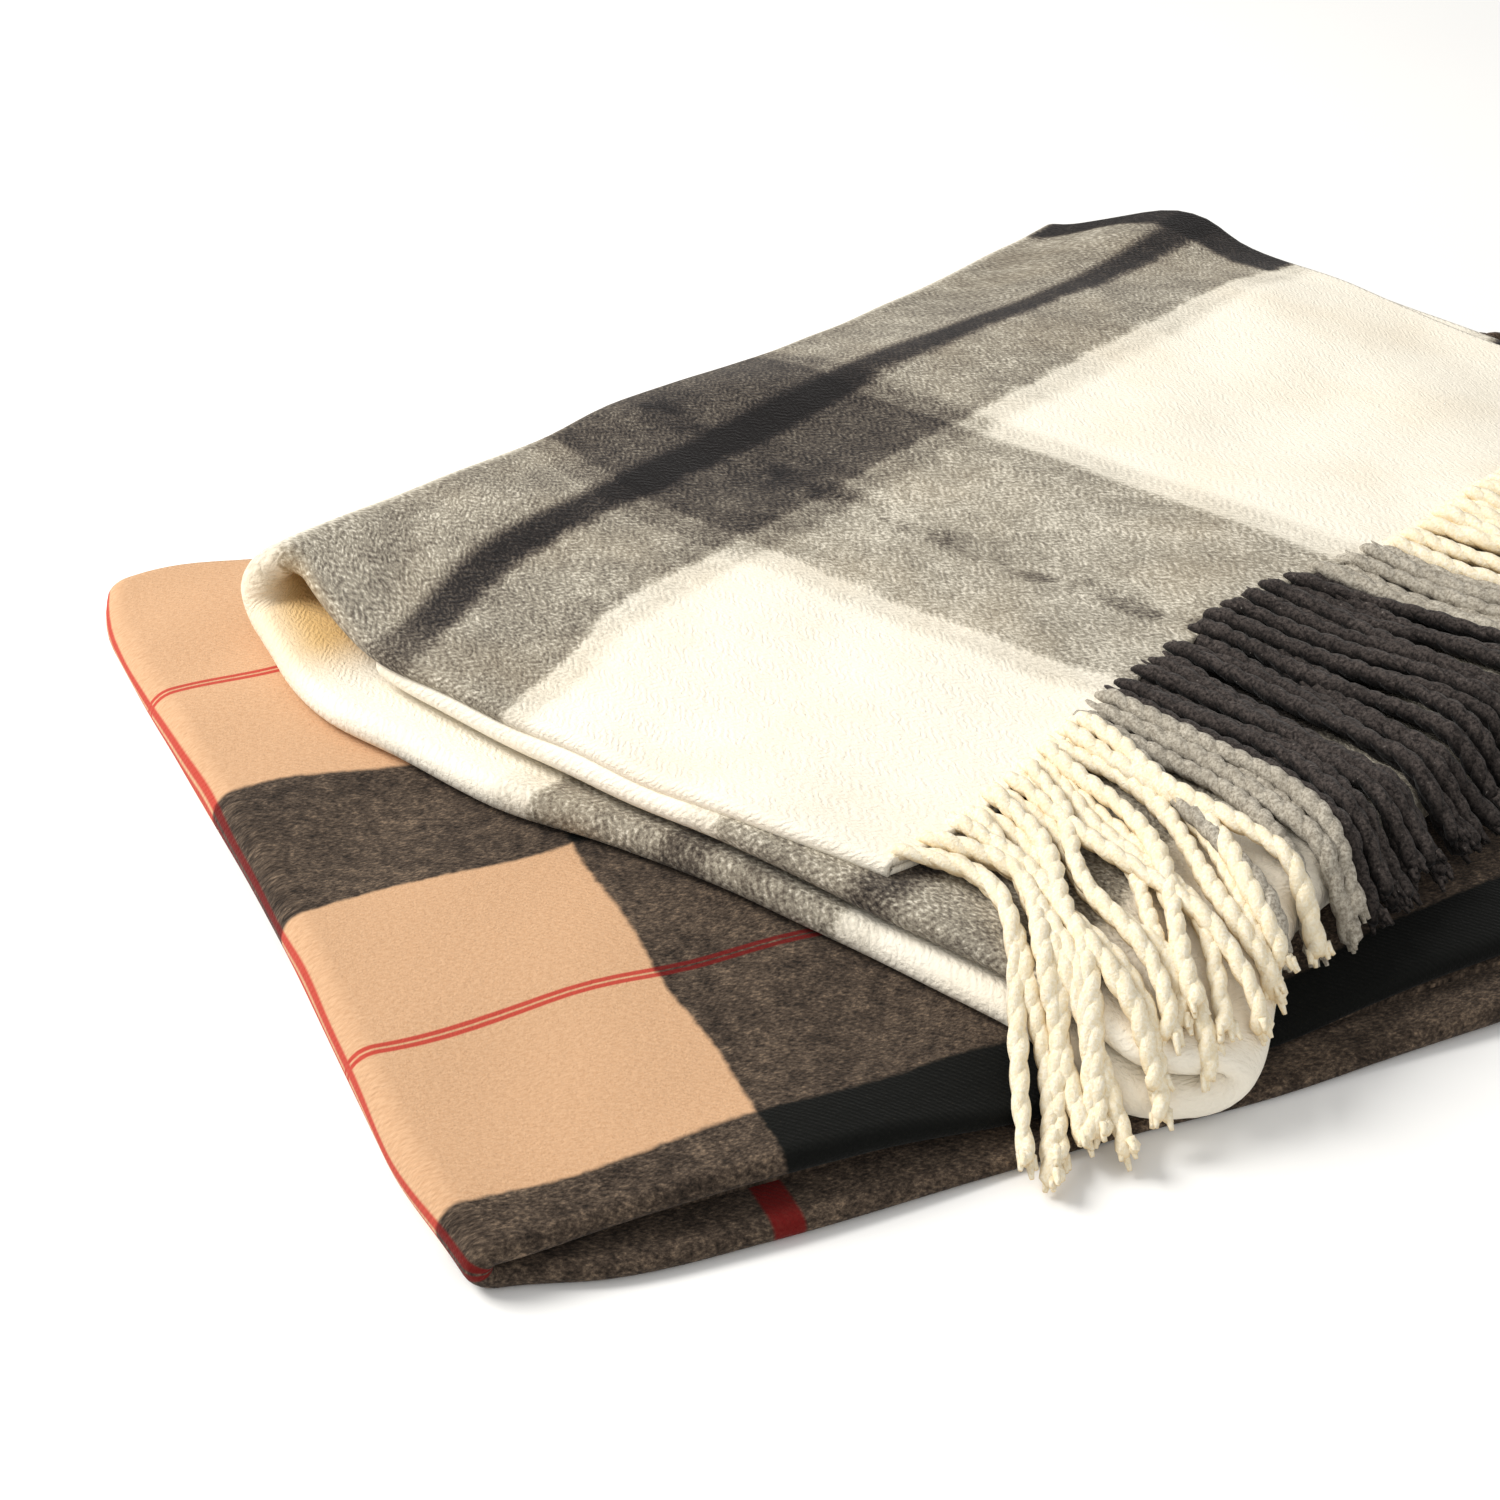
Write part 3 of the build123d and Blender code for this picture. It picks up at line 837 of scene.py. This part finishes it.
# the outer fringe's runs of one colour: the v where each ends, its piece and the node it replaces
OUTER_RUNS = [("cream", 150, "fringe_front_cream", "upper_fringe_front_cream"),
              ("grey", 174, "fringe_front_grey", "upper_fringe_front_grey"),
              ("charcoal", 305, "fringe_charcoal", "upper_fringe_charcoal"),
              ("grey", 340, "fringe_back_grey", "upper_fringe_back_grey"),
              ("cream", 700, "fringe_back_cream", "upper_fringe_back_cream")]
# the direction in which a strand leaves the cloth, and the one in which it ends, by v
FIRST_HEADING = [(40, 0.34), (60, 0.24), (78, -0.20), (100, -0.22), (130, -0.30), (150, -0.20),
                 (172, -0.02), (200, -0.02), (260, 0.04), (320, 0.02), (600, 0.0)]
LAST_HEADING = [(40, -0.76), (60, -0.68), (80, -0.62), (100, -0.44), (130, -0.42), (150, -0.44),
                (172, -0.44), (190, -0.34), (215, -0.18), (250, 0.02), (300, 0.08), (600, 0.0)]
LAYER_LIFT = (3.8, 1.2, 0.0)   # how far each layer of strands lies above what is under it


def outer_fringe():
    """Strands in layers: the front ones slip off, the next ones fan out, the rest run straight."""
    groups = [Yarns() for _ in OUTER_RUNS]
    for layer in (2, 1, 0):
        middle = layer == 1
        for v0 in np.arange(44 + 6 * layer, 598, OUTER_GAP):
            v0 = v0 + rng.normal(0, 1.2)
            if layer == 2 and not 130 < v0 < 335:
                continue   # the third layer is only in and beside the charcoal run
            group = next(yarn_group for yarn_group, run in zip(groups, OUTER_RUNS) if v0 < run[1])
            root_u = float(through(v0, ROOT_LINE)) - 9 + 1.5 * middle
            root_v = float(v0 + far_wander(root_u, v0))
            in_cloth = lay_upper(np.array([root_u]), np.array([root_v]), TOP_Z - 2.0 + 4.0 * middle)
            z0 = float(in_cloth[0, 2]) / MM
            first, last = through(v0, FIRST_HEADING), through(v0, LAST_HEADING)
            # one strand lies across its neighbours
            stray = middle and 139 < v0 < 150.5
            k = np.linspace(0, 1, 26)
            swing = 0.13 + 0.15 * smooth(v0, 64, 100) * (1 - smooth(v0, 138, 155)) + 0.04 * middle
            sway = np.sin(2 * pi * k * rng.uniform(0.8, 1.7) + rng.uniform(0, 2 * pi))
            late = 0.2 * smooth(v0, 145, 165) * (1 - smooth(v0, 190, 215))
            turned = smooth(k, 0.10 + late, 0.40 + 2 * late) * (0.25 if stray else 1)
            headings = first + (last - first) * turned
            loose = 0.05 + 0.06 * smooth(v0, 64, 90) * (1 - smooth(v0, 138, 152))
            # strands next to another colour keep to their own side
            calm = 1 - 0.8 * max(np.exp(-(((v0 - run[1]) / 11) ** 2)) for run in OUTER_RUNS[1:4])
            headings = headings + calm * (rng.normal(0, loose) + swing * sway * smooth(k, 0, 0.3))
            radius = rng.uniform(3.2, 3.8)
            above = rng.uniform(0.0, 0.9) + LAYER_LIFT[layer] + 5.0 * stray
            route = droop_route(root_u, root_v, z0, headings, radius + above)
            group.strand(route, radius, OUTER_TWIST + rng.normal(0, 2.0), rng.uniform(0, 2 * pi))
    return [group.piece(name, "opening_leaf", yarns[colour], f"{colour}_fringe", [node])
            for group, (colour, _, name, node) in zip(groups, OUTER_RUNS)]


def world_upper(points):
    """Points of a strand in mm, settled like the throw it hangs from."""
    u, v, z = np.array(points, float).T
    v = v + far_wander(u, v)
    return lay_upper(u - draw_back(u, v), v, z) / MM


def inner_fringe():
    """The fringe at the cloth's other end, flat between the rolled layers."""
    tucked = Yarns()
    for v0 in np.arange(56, 590, STRAND_GAP):
        drift = rng.normal(0, 4)
        route = [(TUCKED_ROOT - 5, v0, TUCKED_Z), (310, v0 + drift * 0.4, TUCKED_Z),
                 (350, v0 + drift, TUCKED_Z), (385, v0 + drift, TUCKED_Z + 0.4),
                 (404, v0 + drift * 0.6, TUCKED_Z)]
        tucked.strand(world_upper(route), 3.3, TWIST, rng.uniform(0, ANY_TURN), False)
    return tucked.piece("fringe_tucked", "upper_throw", yarns["cream"], "cream_fringe",
                        ["upper_tucked_fringe"])


def lower_fringe(name, node, root, z_root, tip_z, bend):
    """One leaf's fringe: three plies of strands that spread and settle on the floor."""
    gathered = Yarns()
    steps = 8
    step = STRAND_LENGTH / steps
    for ply in range(3):
        for y0 in np.arange(8 + 4 * ply, lower_depth - 24, STRAND_GAP):
            z0 = z_root + (1 - ply) * PLY
            drift, y = rng.normal(0, 0.06) - bend * smooth(y0, 330, lower_depth), y0
            route, heading = [(root - 5, y, z0)], 0.0
            for k in range(1, steps + 1):
                heading += rng.normal(0, 0.10) + drift / steps
                y += step * sin(heading)
                z = z0 + (tip_z + (1 - ply) * 2.2 - z0) * smooth(k, 0, 5)
                route.append((root - 5 + step * k * cos(heading), y, max(z, 3.6)))
            laid = lay_lower(*np.array(route).T) / MM
            gathered.strand(laid, 3.5, TWIST, rng.uniform(0, ANY_TURN), ply == 0)
    return gathered.piece(name, "lower_throw", yarns["camel"], "camel_fringe", [node])


upper_fringes = outer_fringe()
tucked_fringe = inner_fringe()
lower_fringes = [
    lower_fringe("fringe_lower_top", "lower_top_fringe", root=lower_top_length,
                 z_root=lower_top - LEAF / 2, tip_z=12.0, bend=0.9),
    lower_fringe("fringe_lower_bottom", "lower_bottom_fringe", root=lower_length,
                 z_root=LEAF / 2, tip_z=5.0, bend=1.1),
]

# ---------------------------------------------------------------- floor, light and camera
floor_mesh = bpy.data.meshes.new("floor")
floor_corners = [(-14.0, -14.0, 0), (14.0, -14.0, 0), (14.0, 14.0, 0), (-14.0, 14.0, 0)]
floor_mesh.from_pydata(floor_corners, [], [(0, 1, 2, 3)])
floor = bpy.data.objects.new("floor", floor_mesh)
bpy.context.scene.collection.objects.link(floor)
pale = Graph("pale_floor")
place = pale.tree.nodes.new("ShaderNodeTexCoord").outputs["Object"]
pale_colour = pale.mix(pale.noise(place, 3.0), linear(250, 250, 249), linear(246, 246, 245))
pale.tree.links.new(pale_colour, pale.shader.inputs["Base Color"])
pale.shader.inputs["Roughness"].default_value = 0.9
pale.shader.inputs["Specular IOR Level"].default_value = 0.1
floor_mesh.materials.append(pale.material)

world = bpy.data.worlds.new("studio")
bpy.context.scene.world = world
world.use_nodes = True
world.node_tree.nodes["Background"].inputs[0].default_value = (1.0, 0.995, 0.985, 1.0)
world.node_tree.nodes["Background"].inputs[1].default_value = 0.52


def area_light(name, position, size, power, colour):
    """A soft light that faces the throws."""
    data = bpy.data.lights.new(name, "AREA")
    data.shape, data.size, data.size_y = "RECTANGLE", size[0], size[1]
    data.energy, data.color = power, colour
    lamp = bpy.data.objects.new(name, data)
    lamp.location = position
    lamp.rotation_euler = (-Vector(position)).to_track_quat("-Z", "Y").to_euler()
    bpy.context.scene.collection.objects.link(lamp)


area_light("key", (-1.6, 1.1, 1.7), size=(1.2, 1.2), power=71, colour=(1.0, 0.975, 0.935))
area_light("fill", (-0.6, -2.2, 1.9), size=(2.4, 1.6), power=12, colour=(1.0, 0.98, 0.95))

CAMERA_PITCH = radians(34.5)
CAMERA_HEADING = Vector((0.416, 0.909, 0)).normalized()
camera_data = bpy.data.cameras.new("camera")
camera_data.sensor_width, camera_data.lens = 36.0, 60.0
camera_data.clip_start, camera_data.clip_end = 0.01, 100
camera = bpy.data.objects.new("camera", camera_data)
bpy.context.scene.collection.objects.link(camera)
# placed from the lower throw's front left corner
camera.location = (lower_origin[0] * MM - 0.1418, lower_origin[1] * MM - 0.5112, 0.560)
look = CAMERA_HEADING * cos(CAMERA_PITCH) - Vector((0, 0, sin(CAMERA_PITCH)))
camera.rotation_mode = "QUATERNION"
camera.rotation_quaternion = look.to_track_quat("-Z", "Y")
bpy.context.scene.camera = camera
bpy.context.scene.view_settings.view_transform = "Standard"

bpy.context.view_layer.update()
